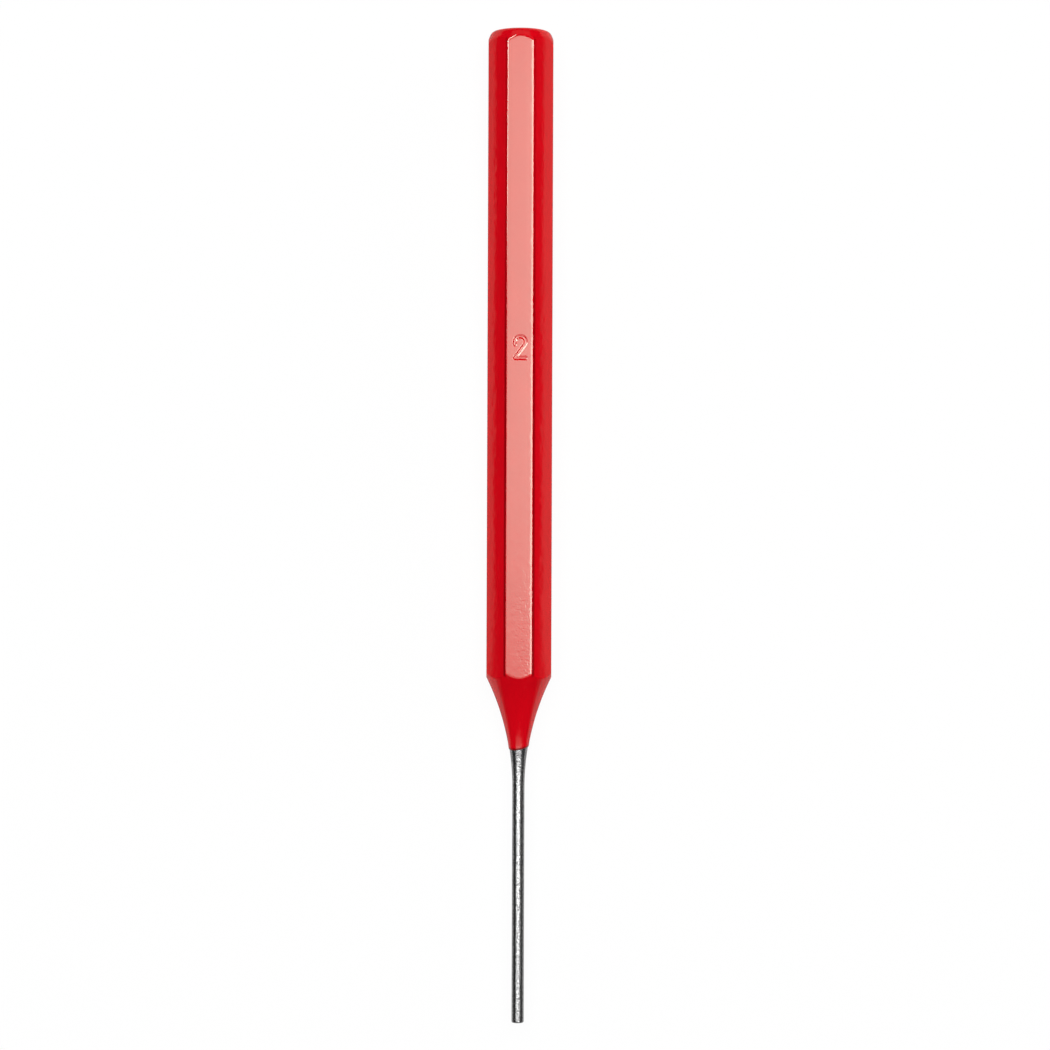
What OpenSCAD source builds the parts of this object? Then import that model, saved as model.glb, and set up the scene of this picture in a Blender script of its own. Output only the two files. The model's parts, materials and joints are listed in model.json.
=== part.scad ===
// Pin punch: one hardened steel bar with a striking head, an octagonal shank, a hollow neck
// and a thin driving pin, dipped in lacquer from the head down to the lower neck.
// It lies on one flat of the shank, with the head towards +Y and the pin towards -Y.

/* [Overall] */
// Length from the pin's tip to the top of the lacquered head
overall_length = 150; // [110:1:220]

/* [Pin] */
// Diameter of the driving pin
pin_d = 1.85; // [1.4:0.05:4]
// Length of the pin's straight part
pin_length = 35.6; // [20:0.2:50]
// Chamfer round the pin's tip
tip_chamfer = 0.15; // [0.05:0.05:0.4]

/* [Shank] */
// Width of the bare bar across two opposite flats
shank_flats = 9.65; // [8:0.05:14]
// Radius along the bar's eight edges
edge_r = 0.5; // [0.2:0.05:1]
// Radius of the hollow neck between the shank and the pin
neck_r = 37.5; // [20:0.5:60]

/* [Head] */
// Radius of the crowned striking face
crown_r = 28; // [20:1:80]
// Radius between the striking face and the head's chamfer
head_edge_r = 0.9; // [0.6:0.1:2]
// Angle of the head's chamfer to the axis
chamfer_angle = 24; // [15:1:35]
// Distance from the top of the head to where the chamfer reaches the flats
chamfer_length = 1.4; // [1.2:0.1:3]

/* [Lacquer] */
// Thickness of the lacquer
coat_t = 0.08; // [0.06:0.01:0.2]
// Height of the lacquer's lower edge over the pin's tip, on the axis
coat_end = 41.6; // [38:0.2:50]
// Tilt of the lacquer's lower edge, as left by dipping
coat_tilt = 13; // [0:1:25]
// Turn of the lower edge's lowest point from the top flat, towards -X
coat_turn = 40; // [0:1:90]

/* [Hidden] */
$fn = 96;

sides = 8;
half_side = 180 / sides;
pin_r = pin_d / 2;
flat_r = shank_flats / 2;
steel_length = overall_length - coat_t;
axis_height = flat_r + coat_t;
// Radius that lies outside every corner of the lacquered bar
outside_r = (flat_r + coat_t) / cos(half_side) + coat_t;

// Cuts that must pass right through the bar
through = 2 * overall_length;

// The head's arcs, as points [radius, height over the pin's tip]
crown_centre = [0, steel_length - crown_r];
chamfer_foot = [flat_r, steel_length - chamfer_length];
chamfer_normal = [cos(chamfer_angle), sin(chamfer_angle)];
// Height of the edge arc's centre, where it touches the chamfer, at a given radius
function chamfer_height(radius, inset) =
    chamfer_foot[1] + (chamfer_normal[0] * (chamfer_foot[0] - radius) - inset) / chamfer_normal[1];
// The edge arc's centre lies on a line inside the chamfer and on a circle inside the crown
line_start = [0, chamfer_height(0, head_edge_r)] - crown_centre;
line_way = [chamfer_normal[1], -chamfer_normal[0]];
along = line_start * line_way;
reach = crown_r - head_edge_r;
edge_centre = crown_centre + line_start
    + line_way * (-along - sqrt(along * along - line_start * line_start + reach * reach));
crown_way = (edge_centre - crown_centre) / reach;

// Half section of the turned form, grown outwards by a given thickness
module turned_section(grow) {
    crown_touch = edge_centre + crown_way * (head_edge_r + grow);
    chamfer_touch = edge_centre + chamfer_normal * (head_edge_r + grow);
    rim_height = chamfer_height(outside_r, -grow);
    intersection() {
        union() {
            square([pin_r + grow, pin_length]);
            difference() {
                translate([0, pin_length])
                    square([outside_r, overall_length - pin_length]);
                translate([pin_r + neck_r, pin_length])
                    circle(neck_r - grow);
            }
        }
        union() {
            polygon([
                [0, 0], [outside_r, 0], [outside_r, rim_height], chamfer_touch,
                edge_centre, crown_touch, [0, crown_touch[1]]
            ]);
            translate(edge_centre)
                circle(head_edge_r + grow);
            intersection() {
                translate(crown_centre)
                    circle(crown_r + grow);
                translate([0, crown_touch[1]])
                    square([crown_touch[0], overall_length]);
            }
        }
    }
}

// Section across the octagonal bar, with rounded edges, grown outwards by a given thickness
module bar_section(grow) {
    flat_reach = flat_r + grow;
    round_r = edge_r + grow;
    half_flat = flat_reach * tan(half_side) - round_r * tan(half_side);
    centre_reach = (flat_reach - round_r) / cos(half_side);
    polygon([
        for (i = [0:sides - 1])
            for (side = [-1, 1])
                let (angle = i * 2 * half_side)
                    [flat_reach * cos(angle) - side * half_flat * sin(angle),
                     flat_reach * sin(angle) + side * half_flat * cos(angle)]
    ]);
    for (i = [0:sides - 1])
        rotate((2 * i + 1) * half_side)
            translate([centre_reach, 0])
                circle(round_r);
}

// The whole punch standing on its pin, grown outwards by a given thickness
module standing_form(grow) {
    intersection() {
        linear_extrude(overall_length)
            bar_section(grow);
        rotate_extrude()
            turned_section(grow);
    }
}

// Lays a standing form down on one flat, with the origin under its middle
module laid_down() {
    translate([0, 0, axis_height])
        rotate([-90, 0, 0])
            translate([0, 0, -overall_length / 2])
                children();
}

// Everything above the lacquer's tilted lower edge
module above_dip_line() {
    translate([0, 0, coat_end])
        rotate([0, 0, -90 - coat_turn])
            rotate([0, coat_tilt, 0])
                translate([-through / 2, -through / 2, 0])
                    cube(through);
}

// Bare steel, with a chamfer turned round the pin's tip
module steel_body() {
    difference() {
        standing_form(0);
        rotate_extrude()
            polygon([
                [pin_r - tip_chamfer, 0], [pin_r + tip_chamfer, -2 * tip_chamfer],
                [pin_r + tip_chamfer, tip_chamfer * 2]
            ]);
    }
}

module steel_punch() {
    color("silver")
        laid_down()
            steel_body();
}

module lacquer_coat() {
    color("firebrick")
        laid_down()
            difference() {
                intersection() {
                    standing_form(coat_t);
                    above_dip_line();
                }
                standing_form(0);
            }
}

steel_punch();
lacquer_coat();
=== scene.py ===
# A pin punch lying on a white table: a red lacquered octagonal bar with a bare steel pin.
import json
import math

import bpy
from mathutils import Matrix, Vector


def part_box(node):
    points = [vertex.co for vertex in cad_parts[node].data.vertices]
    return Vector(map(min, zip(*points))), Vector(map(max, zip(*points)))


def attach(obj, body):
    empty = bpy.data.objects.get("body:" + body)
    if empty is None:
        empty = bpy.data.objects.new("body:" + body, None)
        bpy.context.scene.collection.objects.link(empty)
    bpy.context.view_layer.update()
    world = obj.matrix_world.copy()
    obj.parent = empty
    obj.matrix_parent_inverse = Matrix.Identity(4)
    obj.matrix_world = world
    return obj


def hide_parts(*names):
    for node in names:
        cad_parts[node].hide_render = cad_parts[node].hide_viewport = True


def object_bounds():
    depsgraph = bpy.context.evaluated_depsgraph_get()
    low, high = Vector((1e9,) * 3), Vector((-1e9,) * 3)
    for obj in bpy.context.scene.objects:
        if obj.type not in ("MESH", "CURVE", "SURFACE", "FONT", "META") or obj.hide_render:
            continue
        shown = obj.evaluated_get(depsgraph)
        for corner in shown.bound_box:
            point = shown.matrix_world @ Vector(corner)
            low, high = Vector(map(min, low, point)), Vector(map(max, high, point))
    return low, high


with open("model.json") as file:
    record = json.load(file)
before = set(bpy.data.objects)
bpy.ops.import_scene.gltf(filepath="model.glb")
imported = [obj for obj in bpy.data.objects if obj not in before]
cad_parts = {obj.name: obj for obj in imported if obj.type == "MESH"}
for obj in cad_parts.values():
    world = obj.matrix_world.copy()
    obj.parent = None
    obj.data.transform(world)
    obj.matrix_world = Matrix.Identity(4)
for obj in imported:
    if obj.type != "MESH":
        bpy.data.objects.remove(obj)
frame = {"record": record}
cad_low, cad_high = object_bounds()

MM = 0.001
MICRON = 0.000001

# Sizes that the frame gives, with Y along the punch
steel_low, steel_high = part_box("steel_punch")
coat_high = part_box("lacquer_coat")[1]
drive_pin = next(mount for mount in frame["record"]["mounts"] if mount["name"] == "drive_pin")
AXIS_Z = (steel_low.z + steel_high.z) / 2
STEEL_REACH = (steel_high.x - steel_low.x) / 2
COAT = coat_high.x - steel_high.x
TIP_Y = steel_low.y
HEAD_Y = steel_high.y
OVERALL = cad_high.y - cad_low.y
PIN_RADIUS = drive_pin["dims"]["r_mm"] * MM
PIN_END_Y = drive_pin["pos_m"][1] + drive_pin["dims"]["length_mm"] * MM / 2

# The turned form of the bar
FLATS = 8
HALF_FLAT = math.pi / FLATS
NECK_RADIUS = 37.5 * MM
CROWN_RADIUS = 28 * MM
HEAD_EDGE_RADIUS = 0.9 * MM
CHAMFER_ANGLE = math.radians(24)
CHAMFER_LENGTH = 1.4 * MM
TIP_ROUND = 0.2 * MM
TIP_DOME = 0.04 * MM
# A radius clear of the bar's corners
CLEAR = 0.3 * MM
OUTSIDE = (STEEL_REACH + COAT) / math.cos(HALF_FLAT) + CLEAR

# How the lacquer rounds the bar: its long edges, the swell of its flats, and the flats' two ends.
# It lies thick over the right-hand edges, and over the left-hand ones only near the head.
STEEL_EDGE_RADIUS = 0.5 * MM
RIGHT_EDGE_RADIUS = 0.5 * MM
LEFT_EDGE_RADIUS = 0.3 * MM
LEFT_EDGE_HEAD_RADIUS = 0.4 * MM
LEFT_EDGE_GROWS_FROM = 20 * MM
LEFT_EDGE_GROWS_OVER = 40 * MM
FLAT_SWELL = 0.03 * MM
HEAD_SOFTNESS = 0.1 * MM
NECK_SOFTNESS = 0.03 * MM
# Turn of the flats about the axis, towards +X
ROLL = math.radians(0.38)

# The lacquer's lower edge, as the dip left it
DIP_Y = TIP_Y + 41.6 * MM
DIP_TILT = math.radians(13)
DIP_TURN = math.radians(40)
DIP_SWAY = 6 * MM
DIP_WAVE, DIP_WAVES = 0.02 * MM, 3
# Rise over the edge and swell of the film there, in mm
BEAD = [(0.9, 0.0), (0.5, 0.012), (0.25, 0.026), (0.1, 0.028), (0.03, 0.008), (0.0, -0.03), (-0.01, -0.06)]

# How finely the spun forms are divided, round the axis and along each stretch of the section.
# CROWD is how strongly the columns crowd towards the bar's edges.
COLUMNS = 160
CROWD = 0.75
CROWN_STEPS, HEAD_EDGE_STEPS, CHAMFER_STEPS = 12, 12, 32
SHANK_STEPS, COAT_NECK_STEPS, STEEL_NECK_STEPS = 8, 96, 64
PIN_STEPS, TIP_ROUND_STEPS, TIP_STEPS = 24, 6, 4
SEAM_GAP = 0.2 * MICRON
CREASE = math.radians(40)

# The stamped size number on the top flat, with its strokes softened by the lacquer
MARK_X = 0.07 * MM
MARK_Y = 26.8 * MM
MARK_SIZE = Vector((2.4, 4.04)) * MM
MARK_ROOM = 0.6 * MM
MARK_RINGS = 18
MARK_CUTS = 5
BOWL_END = math.radians(-34)
HOOK_LENGTH = 0.4 * MM
STROKE_WIDTH = 0.8 * MM
STROKE_WALL = 0.36 * MM
STROKE_DEPTH = 0.06 * MM

# The lacquer's colours, the dark red of its painted shade and shadow, and the tint of its gloss
LACQUER_DARK = (0.55, 0.0006, 0.006, 1)
LACQUER_LIGHT = (0.63, 0.0007, 0.007, 1)
LACQUER_SHADE = (0.23, 0.0002, 0.002, 1)
LACQUER_GLOSS_TINT = (0.6, 1.0, 0.85, 1)
LACQUER_ROUGHNESS = 0.06
LACQUER_IOR = 1.6
# The sloping flats' halves next to the top flat, where shade is painted along the edges, as a turn from the
# top
BESIDE_TOP, BESIDE_TOP_REACH = 1.5 * HALF_FLAT, 0.5 * HALF_FLAT
# How the painted edge shade grows towards the edges, in shares of half a flat, ends and weakens to the head
EDGE_SHADE_FROM, EDGE_SHADE_TO = 0.72, 0.93
EDGE_SHADE_LOW_Y, EDGE_SHADE_HIGH_Y, EDGE_SHADE_FADE = -22.7 * MM, 73.5 * MM, 0.6 * MM
EDGE_SHADE_WEAKENS_FROM, EDGE_SHADE_WEAKENS_TO, EDGE_SHADE_HEAD_SHARE = 20 * MM, 60 * MM, 0.55
# Width of the painted shadow line along the lacquer's lower edge, and of its fade
DIP_SHADOW, DIP_SHADOW_FADE = 0.12 * MM, 0.3 * MM
# The lacquer's clouds, orange peel, streaks, ripples and pits: features to the metre along X, Y
# and Z, finer octaves on top of them, and heights
CLOUD, CLOUD_DETAIL = (220, 220, 220), 3.0
PEEL, PEEL_DETAIL, PEEL_HEIGHT = (1100, 1100, 1100), 2.0, 10 * MICRON
STREAK, STREAK_DETAIL, STREAK_HEIGHT = (900, 40, 900), 2.0, 4 * MICRON
RIPPLE, RIPPLE_DETAIL, RIPPLE_HEIGHT, RIPPLE_SWAY = (600, 750, 600), 1.0, 1.5 * MICRON, 8.0
PIT, PIT_DETAIL, PIT_DEPTH = (2700, 2700, 2700), 0.0, 4 * MICRON
PIT_FROM, PIT_TO = 0.62, 0.72
# Where the ripples grow, along the bar and across the top flat, and their shares at the faint ends
RIPPLES_FROM_Y, RIPPLES_TO_Y, RIPPLE_FAR_SHARE = -2 * MM, -15 * MM, 0.05
RIPPLES_FROM_X, RIPPLES_TO_X, RIPPLE_LEFT_SHARE = -1.5 * MM, 1.0 * MM, 0.35
# Where they fade out towards the flat's edges, in shares of half a flat
RIPPLES_FADE_FROM, RIPPLES_FADE_TO = 0.6, 0.85

# The steel's colours, its flecks and its grain
STEEL_DARK = (0.16, 0.16, 0.16, 1)
STEEL_LIGHT = (0.63, 0.63, 0.63, 1)
STEEL_ROUGHNESS = 0.24
FLECK, FLECK_DETAIL, FLECK_FROM, FLECK_TO = (7600, 7600, 7600), 1.0, 0.38, 0.62
GRAIN, GRAIN_DETAIL, GRAIN_HEIGHT = (5600, 5600, 5600), 2.0, 30 * MICRON

BLACK = (0, 0, 0, 1)
WHITE = (1, 1, 1, 1)
# The white table, just clear of the punch, and how it looks to the camera
TABLE_SIZE, TABLE_DROP = 12.0, 0.02 * MM
TABLE_WHITE = (0.85, 0.85, 0.85, 1)
TABLE_GLOW_SHARE = 0.95
# How the table looks mirrored in the punch, as painted light that fades with distance: by the pin, by the
# neck and bar, and beyond the head
PIN_GLOW = (0.62, 0.62, 0.62, 1)
BAR_GLOW = (1.0, 0.45, 0.43, 1)
FAR_PIN_GLOW_SHARE, FAR_HEAD_GLOW_SHARE = 0.2, 0.15
PIN_GLOW_BELOW, BAR_GLOW_ABOVE = -36 * MM, -30 * MM
PIN_GLOW_FADES_FROM, PIN_GLOW_FADES_TO = 15 * MM, 45 * MM
HEAD_GLOW_FADES_FROM, HEAD_GLOW_FADES_TO = 85 * MM, 250 * MM
SIDE_GLOW_FADES_FROM, SIDE_GLOW_FADES_TO = 0.35, 0.9
# Painted shadow with the red that the lacquer throws on the table close beside it, as the punch's gloss
# shows it
BLEED_SHADE = (0.3, 0.035, 0.04, 1)
BLEED_REACH = 3.5 * MM
BLEED_LOW_Y, BLEED_HIGH_Y, BLEED_FADE = -36 * MM, 80 * MM, 5 * MM
SHANK_END_Y = -23 * MM

# Panels overhead that only the punch's gloss shows, in metres. Each fades in over a length from its
# low and its high Y end, and low_x_share is the share of its level that is left at its low X side.
PANELS = {
    "broad_panel": dict(
        height=0.95, x_span=(-0.27, 0.075), y_span=(-0.22, 0.42), level=5.5,
        fade_low=0.26, fade_high=0.22, low_x_share=0.78),
    "pin_panel": dict(
        height=0.97, x_span=(-0.64, 0.78), y_span=(-0.60, 0.01), level=0.15, fade_low=0.30, fade_high=0.10),
    "pin_side_panel": dict(
        height=0.97, x_span=(0.78, 4.0), y_span=(-0.80, 0.0), level=0.15, fade_low=0.2, fade_high=0.1),
    "neck_panel": dict(
        height=0.96, x_span=(-0.64, 0.78), y_span=(-0.62, -0.26), level=0.85, fade_low=0.14, fade_high=0.10),
    "neck_steel_panel": dict(
        height=0.95, x_span=(-0.64, 0.78), y_span=(-0.39, -0.25), level=2.8, fade_low=0.07, fade_high=0.03),
    "right_panel": dict(
        height=0.95, x_span=(0.075, 0.30), y_span=(-0.12, 0.32), level=11.5, fade_low=0.03, fade_high=0.03),
    "left_panel": dict(
        height=0.95, x_span=(-0.62, -0.27), y_span=(-0.10, 0.20), level=2.4, fade_low=0.03, fade_high=0.03),
    "left_bright_panel": dict(
        height=0.96, x_span=(-0.62, -0.27), y_span=(0.10, 0.42), level=19.0, fade_low=0.12, fade_high=0.03),
    "far_left_panel": dict(
        height=0.96, x_span=(-0.60, -0.22), y_span=(0.50, 1.00), level=18.0, fade_low=0.03, fade_high=0.03),
    "beyond_head_panel": dict(
        height=0.97, x_span=(-1.0, 1.0), y_span=(0.8, 2.6), level=0.25, fade_low=0.3, fade_high=0.3),
    "beyond_pin_panel": dict(
        height=0.97, x_span=(-1.2, 1.2), y_span=(-5.0, -1.8), level=0.9, fade_low=0.5, fade_high=0.4),
}
# Lamps that light the colours but aren't mirrored
SOFT_LAMPS = {
    "overhead_lamp": dict(place=(0.0, 0.25, 1.2), size=(1.0, 1.0), level=6.2),
    "left_lamp": dict(place=(-0.97, -0.35, 0.27), size=(0.7, 0.5), level=1.25),
    "right_lamp": dict(place=(0.97, 0.45, 0.27), size=(0.7, 0.5), level=3.4),
}
ROOM_GLOW = 0.02

# Where the photograph shows the punch, in pixels of its square frame, and the camera's lean and distance
PHOTO_SIDE_PX = 1050
HEAD_TOP_PX = 30.3
PIN_TIP_PX = 1022.7
AXIS_PX = 519.3
LEAN = math.radians(0.2)
CAMERA_DISTANCE = 0.43
SENSOR_MM = 36.0


def soft_min(a, b, blend):
    """The smaller of two lengths, rounded over where they are nearly equal."""
    near = max(blend - abs(a - b), 0.0) / blend
    return min(a, b) - near * near * blend / 4


def smooth_step(x):
    x = min(max(x, 0.0), 1.0)
    return x * x * (3 - 2 * x)


def arc(centre, radius, start, end, steps):
    """Points along an arc, as (distance from the axis, Y), with both ends."""
    turn = (end - start) / steps
    return [(centre[0] + radius * math.cos(start + i * turn),
             centre[1] + radius * math.sin(start + i * turn)) for i in range(steps + 1)]


def straight(start, end, steps):
    """Points along a line, without its start."""
    return [(start[0] + (end[0] - start[0]) * i / steps,
             start[1] + (end[1] - start[1]) * i / steps) for i in range(1, steps + 1)]


def neck_radius(y, grow):
    """Radius of the hollow neck, or of the pin below it."""
    rise = max(y - PIN_END_Y, 0.0)
    return PIN_RADIUS + NECK_RADIUS - math.sqrt((NECK_RADIUS - grow) ** 2 - rise ** 2)


def head_section(grow):
    """The crowned face, its rounded edge and the chamfer, from the axis outwards."""
    crown = Vector((0.0, HEAD_Y - CROWN_RADIUS))
    foot = Vector((STEEL_REACH, HEAD_Y - CHAMFER_LENGTH))
    out = Vector((math.cos(CHAMFER_ANGLE), math.sin(CHAMFER_ANGLE)))
    down = Vector((out.y, -out.x))
    inner = foot - out * HEAD_EDGE_RADIUS - crown
    reach = CROWN_RADIUS - HEAD_EDGE_RADIUS
    along = inner.dot(down)
    centre = crown + inner - down * (along + math.sqrt(along ** 2 - inner.dot(inner) + reach ** 2))
    touch = math.atan2(centre.y - crown.y, centre.x - crown.x)
    points = arc(crown, CROWN_RADIUS + grow, math.pi / 2, touch, CROWN_STEPS)
    points += arc(centre, HEAD_EDGE_RADIUS + grow, touch, CHAMFER_ANGLE, HEAD_EDGE_STEPS)[1:]
    rim = centre + out * (HEAD_EDGE_RADIUS + grow)
    rim_end = rim + down * ((OUTSIDE - rim.x) / down.x)
    return points + straight(rim, rim_end, CHAMFER_STEPS)


def shank_section(above, below):
    """The bar between the head and the neck, with close rings where the size number is."""
    half = MARK_SIZE.y / 2 + MARK_ROOM
    top, low = (OUTSIDE, MARK_Y + half), (OUTSIDE, MARK_Y - half)
    mark_rings = straight(top, low, MARK_RINGS)
    return straight(above, top, SHANK_STEPS) + mark_rings + straight(low, below, SHANK_STEPS)


def neck_section(grow, low_y, steps):
    """The hollow neck from the bar's outside down to a given Y."""
    centre = (PIN_RADIUS + NECK_RADIUS, PIN_END_Y)
    radius = NECK_RADIUS - grow
    start = math.pi - math.acos((centre[0] - OUTSIDE) / radius)
    end = math.pi - math.asin((low_y - PIN_END_Y) / radius)
    return arc(centre, radius, start, end, steps)


def bead_point(rise, swell):
    y = DIP_Y + rise * MM
    return neck_radius(y, COAT) + swell * MM, y


def coat_section():
    head = head_section(COAT)
    neck = neck_section(COAT, DIP_Y + BEAD[0][0] * MM, COAT_NECK_STEPS)
    bead = [bead_point(rise, swell) for rise, swell in BEAD[1:]]
    return head + shank_section(head[-1], neck[0]) + neck[1:] + bead


def steel_section():
    head = head_section(0.0)
    neck = neck_section(0.0, PIN_END_Y, STEEL_NECK_STEPS)
    round_centre = (PIN_RADIUS - TIP_ROUND, TIP_Y + TIP_DOME + TIP_ROUND)
    tip = arc(round_centre, TIP_ROUND, 0.0, -math.pi / 2, TIP_ROUND_STEPS)
    pin = straight(neck[-1], tip[0], PIN_STEPS)
    end = straight(tip[-1], (0.0, TIP_Y), TIP_STEPS)
    return head + shank_section(head[-1], neck[0]) + neck[1:] + pin + tip[1:] + end


def spun(name, section):
    """Draws a half section point by point and spins it round the punch's axis."""
    bpy.ops.object.select_all(action="DESELECT")
    radius, y = section[0]
    bpy.ops.mesh.primitive_plane_add(size=MM, location=(radius, y, AXIS_Z))
    piece = bpy.context.object
    piece.name = name
    piece.data.name = name
    bpy.ops.object.transform_apply(location=True)
    bpy.ops.object.mode_set(mode="EDIT")
    bpy.ops.mesh.select_all(action="SELECT")
    bpy.ops.mesh.merge(type="CENTER")
    for (radius, y), (next_radius, next_y) in zip(section, section[1:]):
        step = (next_radius - radius, next_y - y, 0.0)
        bpy.ops.mesh.extrude_vertices_move(TRANSFORM_OT_translate={"value": step})
    bpy.ops.mesh.select_all(action="SELECT")
    bpy.ops.mesh.spin(steps=COLUMNS, angle=2 * math.pi, center=(0, 0, AXIS_Z), axis=(0, 1, 0))
    bpy.ops.mesh.select_all(action="SELECT")
    bpy.ops.mesh.remove_doubles(threshold=SEAM_GAP)
    bpy.ops.mesh.normals_make_consistent(inside=False)
    bpy.ops.object.mode_set(mode="OBJECT")
    return piece


def coat_edge_radius(edge_angle, y):
    """Radius of the lacquer over one of the bar's long edges."""
    if math.cos(edge_angle) > 0:
        return RIGHT_EDGE_RADIUS
    share = smooth_step((y - LEFT_EDGE_GROWS_FROM) / LEFT_EDGE_GROWS_OVER)
    return LEFT_EDGE_RADIUS + share * (LEFT_EDGE_HEAD_RADIUS - LEFT_EDGE_RADIUS)


def steel_edge_radius(edge_angle, y):
    return STEEL_EDGE_RADIUS


def flat_reach(angle, y, reach, edge_radius, swell):
    """How far the octagonal section reaches at an angle, with rounded edges and slightly swollen flats."""
    angle += ROLL
    from_flat = (angle + HALF_FLAT) % (2 * HALF_FLAT) - HALF_FLAT
    edge_angle = angle - from_flat + math.copysign(HALF_FLAT, from_flat)
    cut = edge_radius(edge_angle, y) * (1 - math.cos(HALF_FLAT))
    power = -math.log(2) / math.log(1 - cut / reach)
    turns = (-2 * HALF_FLAT, 0.0, 2 * HALF_FLAT)
    sides = sum(max(math.cos(from_flat + turn), 0.0) ** power for turn in turns)
    return reach * sides ** (-1 / power) - swell * (from_flat / HALF_FLAT) ** 2


def press_flats(piece, grow, edge_radius, swell):
    """Crowds the columns towards the bar's edges and presses its eight flats into the spun form."""
    for v in piece.data.vertices:
        up = v.co.z - AXIS_Z
        radius = math.hypot(v.co.x, up)
        angle = math.atan2(up, v.co.x)
        angle += CROWD / FLATS * math.sin(FLATS * angle)
        softness = HEAD_SOFTNESS if v.co.y > 0 else NECK_SOFTNESS
        reach = flat_reach(angle, v.co.y, STEEL_REACH + grow, edge_radius, swell)
        radius = soft_min(radius, reach, softness)
        v.co.x = radius * math.cos(angle)
        v.co.z = AXIS_Z + radius * math.sin(angle)


def dip_edge_way():
    """The way in which the lacquer's slanted lower edge faces, away from the pin's tip."""
    down = math.tan(DIP_TILT)
    return Vector((-down * math.sin(DIP_TURN), 1.0, down * math.cos(DIP_TURN))).normalized()


def tilt_dip_line(piece):
    """Slants the lacquer's lower edge and gives it the slight wave of a dipped edge."""
    for v in piece.data.vertices:
        share = smooth_step((DIP_Y + DIP_SWAY - v.co.y) / DIP_SWAY)
        if share <= 0:
            continue
        up = v.co.z - AXIS_Z
        radius = math.hypot(v.co.x, up)
        from_top = math.atan2(-v.co.x, up)
        drop = math.tan(DIP_TILT) * radius * math.cos(from_top - DIP_TURN)
        drop += DIP_WAVE * math.sin(DIP_WAVES * from_top)
        swell = radius - neck_radius(v.co.y, COAT)
        v.co.y -= share * drop
        new_radius = neck_radius(v.co.y, COAT) + swell
        v.co.x *= new_radius / radius
        v.co.z = AXIS_Z + up * new_radius / radius


def line_distance(point, start, end):
    way = end - start
    share = min(max((point - start).dot(way) / way.length_squared, 0.0), 1.0)
    return (point - start - way * share).length


def stroke_distance(point):
    """Distance from a point to the centre line of a plain figure two, about its middle."""
    half = (MARK_SIZE - Vector((STROKE_WIDTH, STROKE_WIDTH))) / 2
    bowl = Vector((0.0, half.y - half.x))
    hook = Vector((-half.x, bowl.y))
    hook_end = hook - Vector((0.0, HOOK_LENGTH))
    elbow = bowl + half.x * Vector((math.cos(BOWL_END), math.sin(BOWL_END)))
    heel, toe = -half, Vector((half.x, -half.y))
    lines = [(hook_end, hook), (elbow, heel), (heel, toe)]
    found = [line_distance(point, start, end) for start, end in lines]
    arm = point - bowl
    if math.atan2(arm.y, arm.x) > BOWL_END:
        found.append(abs(arm.length - half.x))
    return min(found)


def select_only(piece):
    bpy.ops.object.select_all(action="DESELECT")
    piece.select_set(True)
    bpy.context.view_layer.objects.active = piece


def stamp_size_mark(piece):
    """Divides the top flat finely round the size number and sinks its strokes."""
    mesh = piece.data
    half = (MARK_SIZE + Vector((MARK_ROOM, MARK_ROOM))) / 2
    select_only(piece)
    bpy.ops.object.mode_set(mode="EDIT")
    bpy.ops.mesh.select_mode(type="FACE")
    bpy.ops.mesh.select_all(action="DESELECT")
    bpy.ops.object.mode_set(mode="OBJECT")
    for face in mesh.polygons:
        inside = abs(face.center.y - MARK_Y) < half.y and abs(face.center.x - MARK_X) < half.x
        face.select = inside and face.center.z > AXIS_Z
    bpy.ops.object.mode_set(mode="EDIT")
    bpy.ops.mesh.subdivide(number_cuts=MARK_CUTS)
    bpy.ops.mesh.select_mode(type="VERT")
    bpy.ops.object.mode_set(mode="OBJECT")
    for v in mesh.vertices:
        place = Vector((v.co.x - MARK_X, v.co.y - MARK_Y))
        if v.co.z < AXIS_Z or abs(place.y) > half.y or abs(place.x) > half.x:
            continue
        inward = STROKE_WIDTH / 2 - stroke_distance(place)
        v.co.z -= STROKE_DEPTH * smooth_step(inward / STROKE_WALL)


def apply_modifier(piece, kind, name, **settings):
    modifier = piece.modifiers.new(name, kind)
    for key, value in settings.items():
        setattr(modifier, key, value)
    select_only(piece)
    bpy.ops.object.modifier_apply(modifier=name)


def shade_smooth(piece):
    select_only(piece)
    bpy.ops.object.shade_smooth_by_angle(angle=CREASE)


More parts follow.
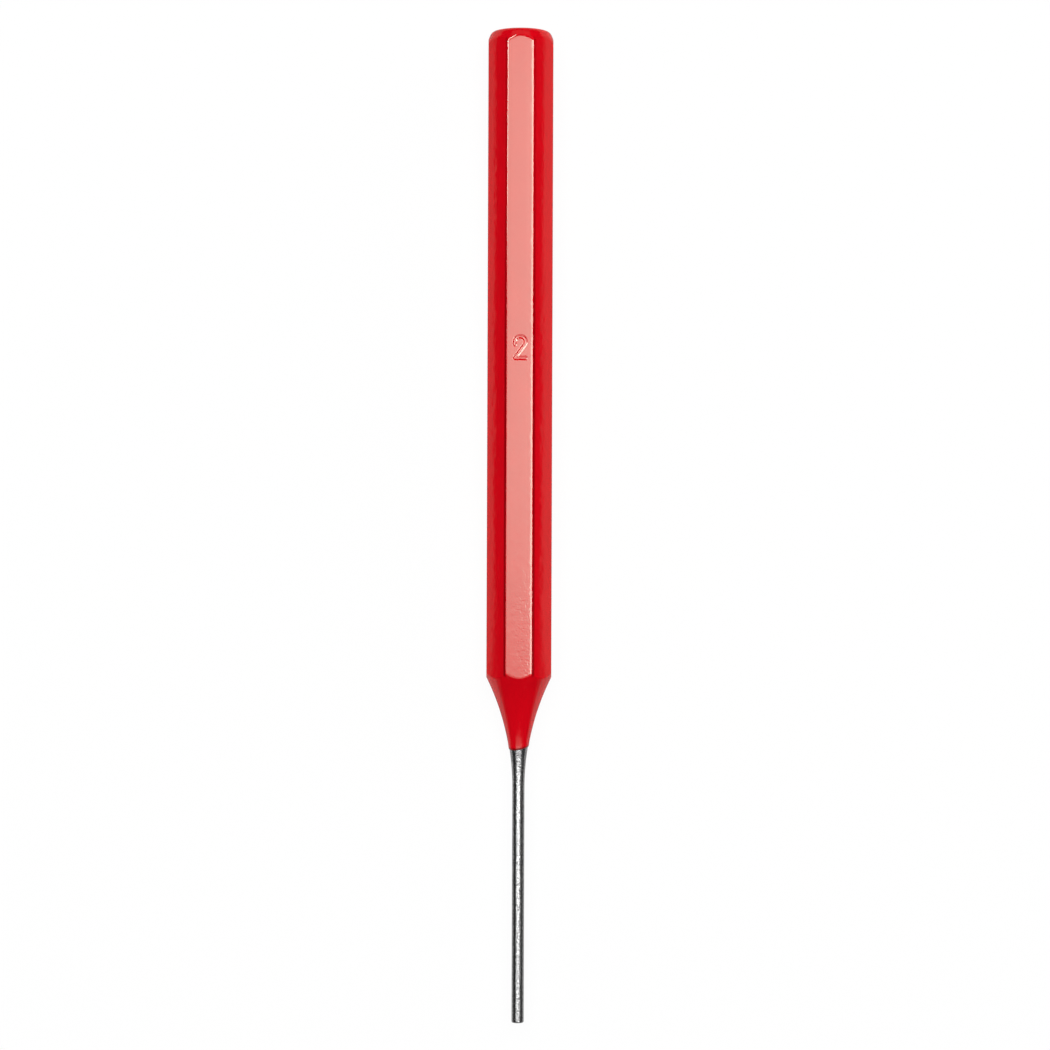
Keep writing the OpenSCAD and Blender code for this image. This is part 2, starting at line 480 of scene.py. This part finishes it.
class Shading:
    """A short way to add nodes to a node tree, with their inputs as values or as links."""

    def __init__(self, tree):
        self.tree = tree

    def add(self, kind, inputs=None, **settings):
        node = self.tree.nodes.new("ShaderNode" + kind)
        for key, value in settings.items():
            setattr(node, key, value)
        for key, value in (inputs or {}).items():
            self.set(node.inputs[key], value)
        return node

    def set(self, socket, value):
        if isinstance(value, bpy.types.NodeSocket):
            self.tree.links.new(value, socket)
        else:
            socket.default_value = value

    def math(self, operation, *values):
        return self.add("Math", dict(enumerate(values)), operation=operation).outputs[0]

    def product(self, *values):
        result = values[0]
        for value in values[1:]:
            result = self.math("MULTIPLY", result, value)
        return result

    def ramp(self, value, low, high, to_low=0.0, to_high=1.0):
        """A smooth change from one level to another as a value goes from low to high."""
        node = self.add("MapRange", {
            "Value": value, "From Min": low, "From Max": high, "To Min": to_low, "To Max": to_high,
        }, interpolation_type="SMOOTHSTEP")
        return node.outputs["Result"]

    def span(self, value, low, high, fade):
        """One between two values and nought outside them, with a soft fade at both."""
        return self.product(self.ramp(value, low, low + fade), self.ramp(value, high, high - fade))

    def mix(self, share, first, second):
        node = self.add("Mix", {"Factor": share, "A": first, "B": second}, data_type="RGBA")
        return node.outputs["Result"]

    def noise(self, place, stretch, detail):
        """Cloudy noise from 0 to 1, with its number of features to the metre along X, Y and Z."""
        spread = self.add("Mapping", {"Vector": place, "Scale": stretch}).outputs[0]
        inputs = {"Vector": spread, "Scale": 1.0, "Detail": detail}
        return self.add("TexNoise", inputs).outputs["Fac"]

    def ripple(self, place, stretch, detail, sway):
        """Swaying ripples across Y from 0 to 1, about three for each feature to the metre along Y."""
        spread = self.add("Mapping", {"Vector": place, "Scale": stretch}).outputs[0]
        inputs = {"Vector": spread, "Scale": 1.0, "Distortion": sway, "Detail": detail, "Detail Scale": 1.0}
        return self.add("TexWave", inputs, bands_direction="Y").outputs["Fac"]

    def bump(self, *heights):
        """A normal raised by the sum of several heights in metres."""
        total = heights[0]
        for height in heights[1:]:
            total = self.math("ADD", total, height)
        return self.add("Bump", {"Height": total, "Strength": 1.0, "Distance": 1.0}).outputs["Normal"]


def new_material(name):
    material = bpy.data.materials.new(name)
    material.use_nodes = True
    material.node_tree.nodes.clear()
    return material, Shading(material.node_tree)


def set_surface(shading, shader):
    shading.add("OutputMaterial", {"Surface": shader})


def lacquer_tone(shading, place, axes, turn, from_top):
    """Clouded red, with painted shade beside the bar's edges and a painted shadow along the lacquer's lower
    edge.
    """
    clouded = shading.mix(shading.noise(place, CLOUD, CLOUD_DETAIL), LACQUER_DARK, LACQUER_LIGHT)
    to_edge = shading.math("PINGPONG", turn, HALF_FLAT)
    # Painted shade: the sloping flats darken towards their edges beside the top flat
    edge_shade = shading.product(
        shading.ramp(to_edge, EDGE_SHADE_FROM * HALF_FLAT, EDGE_SHADE_TO * HALF_FLAT),
        shading.math("COMPARE", from_top, BESIDE_TOP, BESIDE_TOP_REACH),
        shading.span(axes["Y"], EDGE_SHADE_LOW_Y, EDGE_SHADE_HIGH_Y, EDGE_SHADE_FADE),
        shading.ramp(axes["Y"], EDGE_SHADE_WEAKENS_FROM, EDGE_SHADE_WEAKENS_TO, 1.0, EDGE_SHADE_HEAD_SHARE))
    edge_way = dip_edge_way()
    from_dip = shading.add("VectorMath", {0: place, 1: edge_way}, operation="DOT_PRODUCT")
    dip_rise = shading.math("SUBTRACT", from_dip.outputs["Value"], edge_way.dot((0.0, DIP_Y, AXIS_Z)))
    # Painted shadow: a dark line along the lacquer's lower edge
    dip_shadow = shading.ramp(dip_rise, DIP_SHADOW + DIP_SHADOW_FADE, DIP_SHADOW)
    return shading.mix(shading.math("MAXIMUM", edge_shade, dip_shadow), clouded, LACQUER_SHADE)


def lacquer_relief(shading, place, axes, from_top):
    """Orange peel and streaks all over, with ripples and pits on the top flat towards the neck."""
    rippled = shading.product(
        shading.ramp(axes["Y"], RIPPLES_FROM_Y, RIPPLES_TO_Y, RIPPLE_FAR_SHARE, 1.0),
        shading.ramp(axes["X"], RIPPLES_FROM_X, RIPPLES_TO_X, RIPPLE_LEFT_SHARE, 1.0),
        shading.ramp(from_top, RIPPLES_FADE_FROM * HALF_FLAT, RIPPLES_FADE_TO * HALF_FLAT, 1.0, 0.0))
    ripple = shading.ripple(place, RIPPLE, RIPPLE_DETAIL, RIPPLE_SWAY)
    pit = shading.ramp(shading.noise(place, PIT, PIT_DETAIL), PIT_FROM, PIT_TO)
    return shading.bump(
        shading.product(shading.noise(place, PEEL, PEEL_DETAIL), PEEL_HEIGHT),
        shading.product(shading.noise(place, STREAK, STREAK_DETAIL), STREAK_HEIGHT),
        shading.product(ripple, rippled, RIPPLE_HEIGHT),
        shading.product(pit, rippled, -PIT_DEPTH))


def red_lacquer():
    """Glossy red lacquer, with painted shade beside the bar's edges, and slightly rippled towards the neck.
    """
    material, shading = new_material("red_lacquer")
    place = shading.add("TexCoord").outputs["Object"]
    axes = shading.add("SeparateXYZ", {0: place}).outputs
    turn = shading.math("ARCTAN2", shading.math("SUBTRACT", axes["Z"], AXIS_Z), axes["X"])
    from_top = shading.math("ABSOLUTE", shading.math("SUBTRACT", turn, math.pi / 2))
    shader = shading.add("BsdfPrincipled", {
        "Base Color": lacquer_tone(shading, place, axes, turn, from_top),
        "Roughness": LACQUER_ROUGHNESS, "IOR": LACQUER_IOR, "Specular Tint": LACQUER_GLOSS_TINT,
        "Normal": lacquer_relief(shading, place, axes, from_top)})
    set_surface(shading, shader.outputs["BSDF"])
    return material


def blasted_steel():
    """Grey steel with the fine even grain that shot blasting leaves."""
    material, shading = new_material("blasted_steel")
    place = shading.add("TexCoord").outputs["Object"]
    fleck = shading.ramp(shading.noise(place, FLECK, FLECK_DETAIL), FLECK_FROM, FLECK_TO)
    normal = shading.bump(shading.product(shading.noise(place, GRAIN, GRAIN_DETAIL), GRAIN_HEIGHT))
    shader = shading.add("BsdfPrincipled", {
        "Base Color": shading.mix(fleck, STEEL_DARK, STEEL_LIGHT), "Metallic": 1.0,
        "Roughness": STEEL_ROUGHNESS, "Normal": normal})
    set_surface(shading, shader.outputs["BSDF"])
    return material


def mirrored_table(shading):
    """The table's painted light in the punch's gloss: grey by the pin, reddish by the lacquer, fading away,
    with painted shadow close beside the lacquer.
    """
    axes = shading.add("SeparateXYZ", {0: shading.add("TexCoord").outputs["Object"]}).outputs
    aside = shading.math("ABSOLUTE", axes["X"])
    pin_share = shading.ramp(aside, PIN_GLOW_FADES_FROM, PIN_GLOW_FADES_TO, 1.0, FAR_PIN_GLOW_SHARE)
    bar_share = shading.product(
        shading.ramp(axes["Y"], HEAD_GLOW_FADES_FROM, HEAD_GLOW_FADES_TO, 1.0, FAR_HEAD_GLOW_SHARE),
        shading.ramp(aside, SIDE_GLOW_FADES_FROM, SIDE_GLOW_FADES_TO, 1.0, 0.0))
    open_table = shading.mix(
        shading.ramp(axes["Y"], PIN_GLOW_BELOW, BAR_GLOW_ABOVE),
        shading.mix(pin_share, BLACK, PIN_GLOW),
        shading.mix(bar_share, BLACK, BAR_GLOW))
    half_width = shading.ramp(axes["Y"], PIN_END_Y, SHANK_END_Y, PIN_RADIUS, coat_high.x)
    beyond = shading.math("SUBTRACT", aside, half_width)
    # Painted shadow and red bounce light on the table beside the lacquer, seen in the punch's gloss
    bleed_shade = shading.product(
        shading.ramp(beyond, BLEED_REACH, 0.0),
        shading.span(axes["Y"], BLEED_LOW_Y, BLEED_HIGH_Y, BLEED_FADE))
    return shading.mix(bleed_shade, open_table, BLEED_SHADE)


def white_table():
    """White paper, lit and shaded by the lamps, white to the camera, and dimmer in the punch's gloss, with
    painted light and shadow there.
    """
    material, shading = new_material("white_table")
    path = shading.add("LightPath").outputs
    mirrored = shading.math("MAXIMUM", path["Is Glossy Ray"], path["Is Transmission Ray"])
    seen = shading.product(path["Is Camera Ray"], TABLE_GLOW_SHARE)
    colour = shading.mix(mirrored, WHITE, mirrored_table(shading))
    matte = shading.add("BsdfDiffuse", {"Color": TABLE_WHITE}).outputs[0]
    glow = shading.add("Emission", {"Color": colour, "Strength": 1.0}).outputs[0]
    share = shading.math("MAXIMUM", seen, mirrored)
    set_surface(shading, shading.add("MixShader", {0: share, 1: matte, 2: glow}).outputs[0])
    return material


def make_coat():
    piece = spun("lacquer", coat_section())
    press_flats(piece, COAT, coat_edge_radius, FLAT_SWELL)
    tilt_dip_line(piece)
    stamp_size_mark(piece)
    apply_modifier(piece, "SOLIDIFY", "film", thickness=COAT, offset=-1.0, use_even_offset=True)
    shade_smooth(piece)
    piece.data.materials.append(red_lacquer())
    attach(piece, "root")
    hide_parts("lacquer_coat")


def make_steel():
    piece = spun("steel_bar", steel_section())
    press_flats(piece, 0.0, steel_edge_radius, 0.0)
    shade_smooth(piece)
    piece.data.materials.append(blasted_steel())
    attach(piece, "root")
    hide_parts("steel_punch")


def make_table():
    bpy.ops.object.select_all(action="DESELECT")
    bpy.ops.mesh.primitive_plane_add(size=TABLE_SIZE, location=(0, 0, -TABLE_DROP))
    table = bpy.context.object
    table.name = "table"
    table.data.materials.append(white_table())


def area_lamp(name, place, size, level):
    """A rectangular lamp that faces the punch, with its brightness as a radiance."""
    lamp = bpy.data.lights.new(name, "AREA")
    lamp.shape = "RECTANGLE"
    lamp.size, lamp.size_y = size
    lamp.energy = level * math.pi * size[0] * size[1]
    holder = bpy.data.objects.new(name, lamp)
    holder.location = place
    holder.visible_camera = False
    bpy.context.scene.collection.objects.link(holder)
    return holder


def mirrored_panel(name, height, x_span, y_span, level, fade_low, fade_high, low_x_share=1.0):
    """An overhead panel that only gloss shows, fading out towards its low and high Y ends."""
    size = (x_span[1] - x_span[0], y_span[1] - y_span[0])
    holder = area_lamp(name, (sum(x_span) / 2, sum(y_span) / 2, height), size, 1.0)
    holder.visible_diffuse = False
    lamp = holder.data
    lamp.use_nodes = True
    shading = Shading(lamp.node_tree)
    axes = shading.add("SeparateXYZ", {0: shading.add("NewGeometry").outputs["Parametric"]}).outputs
    strength = shading.product(
        shading.ramp(axes["Y"], 0.0, fade_low / size[1]),
        shading.ramp(axes["Y"], 1.0, 1.0 - fade_high / size[1]),
        shading.ramp(axes["X"], 0.0, 1.0, low_x_share, 1.0),
        level)
    shading.set(lamp.node_tree.nodes["Emission"].inputs["Strength"], strength)


def soft_lamp(name, place, size, level):
    """A lamp that lights matte colours, but that gloss doesn't show."""
    holder = area_lamp(name, place, size, level)
    holder.rotation_euler = (-Vector(place)).to_track_quat("-Z", "Y").to_euler()
    holder.visible_glossy = False


def make_lights():
    for name, settings in PANELS.items():
        mirrored_panel(name, **settings)
    for name, settings in SOFT_LAMPS.items():
        soft_lamp(name, **settings)
    world = bpy.data.worlds.new("dim_room")
    world.use_nodes = True
    background = world.node_tree.nodes["Background"]
    background.inputs["Color"].default_value = WHITE
    background.inputs["Strength"].default_value = ROOM_GLOW
    bpy.context.scene.world = world


def make_camera():
    """Looks straight down, framed as the photograph frames the punch."""
    px = OVERALL / (PIN_TIP_PX - HEAD_TOP_PX)
    middle = PHOTO_SIDE_PX / 2
    camera = bpy.data.cameras.new("camera")
    camera.sensor_width = SENSOR_MM
    camera.lens = SENSOR_MM * CAMERA_DISTANCE / (PHOTO_SIDE_PX * px)
    holder = bpy.data.objects.new("camera", camera)
    right = (middle - AXIS_PX) * px
    up = ((HEAD_TOP_PX + PIN_TIP_PX) / 2 - middle) * px
    holder.location = (right, up, AXIS_Z + CAMERA_DISTANCE)
    holder.rotation_euler = (0.0, 0.0, LEAN)
    bpy.context.scene.collection.objects.link(holder)
    bpy.context.scene.camera = holder


make_camera()
make_lights()
make_table()
make_steel()
make_coat()
bpy.context.scene.view_settings.view_transform = "Standard"
